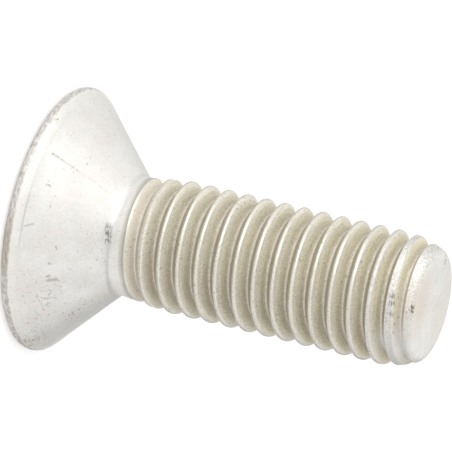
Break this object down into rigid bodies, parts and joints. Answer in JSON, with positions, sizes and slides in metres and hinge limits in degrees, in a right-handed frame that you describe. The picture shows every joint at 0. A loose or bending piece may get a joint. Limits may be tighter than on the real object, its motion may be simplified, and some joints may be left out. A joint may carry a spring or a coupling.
{
  "type": "countersunk screw",
  "caption": "Countersunk machine screw with a flat conical head, a hexagon socket and a right-hand thread along the whole shank, for flush fastening.",
  "frame": {"origin": "middle of the flat head face, which the screw stands on", "axes": "+Z along the screw's axis from the head to the point; X and Y are free, with two corners of the hexagon socket on X"},
  "size_m": [0.02, 0.02, 0.03],
  "materials": {
    "steel": "pale pickled steel, satin, with bright rubbed crests and a dull olive film on the thread flanks"
  },
  "bodies": {
    "root": {"screw": "steel"}
  },
  "joints": []
}
